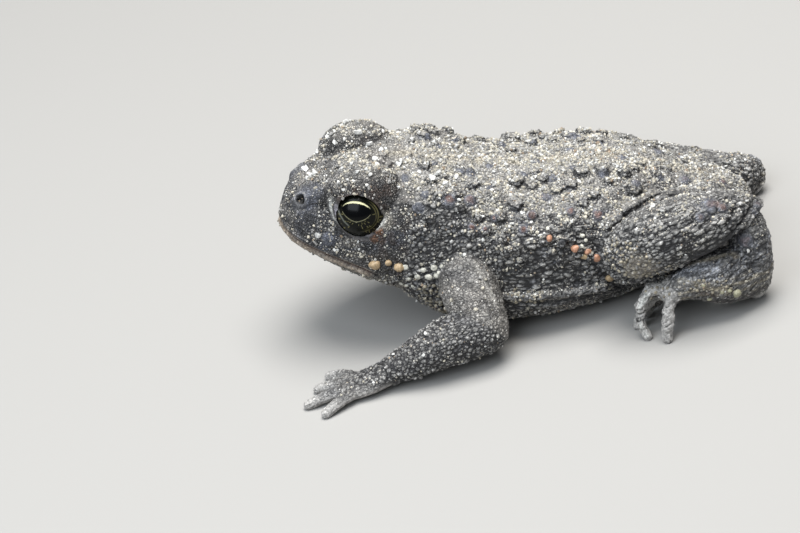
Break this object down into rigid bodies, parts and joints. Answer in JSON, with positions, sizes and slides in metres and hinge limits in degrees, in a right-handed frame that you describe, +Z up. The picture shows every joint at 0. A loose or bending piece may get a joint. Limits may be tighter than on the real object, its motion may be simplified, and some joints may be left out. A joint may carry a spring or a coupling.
{
  "type": "natterjack toad",
  "caption": "Life-size still model of a natterjack toad that crouches with its forebody raised, forelegs forward and hind legs folded.",
  "frame": {"origin": "middle of the toad's outline, on the floor that it rests on", "axes": "+Z up, the snout towards -X, the toad's left side towards -Y"},
  "size_m": [0.0622, 0.0474, 0.0244],
  "materials": {
    "back_skin": "matt, warty blue-black skin dusted with pale sand",
    "throat_skin": "matt, granular paler skin",
    "limb_skin": "matt, finely wrinkled dark grey skin",
    "eye": "wet gloss, dark iris with a pale gold rim"
  },
  "bodies": {
    "root": {"head": "back_skin", "lower_jaw": "throat_skin", "torso": "back_skin", "eye_left": "eye", "eye_right": "eye", "upper_arm_left": "limb_skin", "upper_arm_right": "limb_skin", "forearm_left": "limb_skin", "forearm_right": "limb_skin", "hand_left": "limb_skin", "hand_right": "limb_skin", "thigh_left": "limb_skin", "thigh_right": "limb_skin", "shank_left": "limb_skin", "shank_right": "limb_skin", "foot_left": "limb_skin", "foot_right": "limb_skin"}
  },
  "joints": []
}
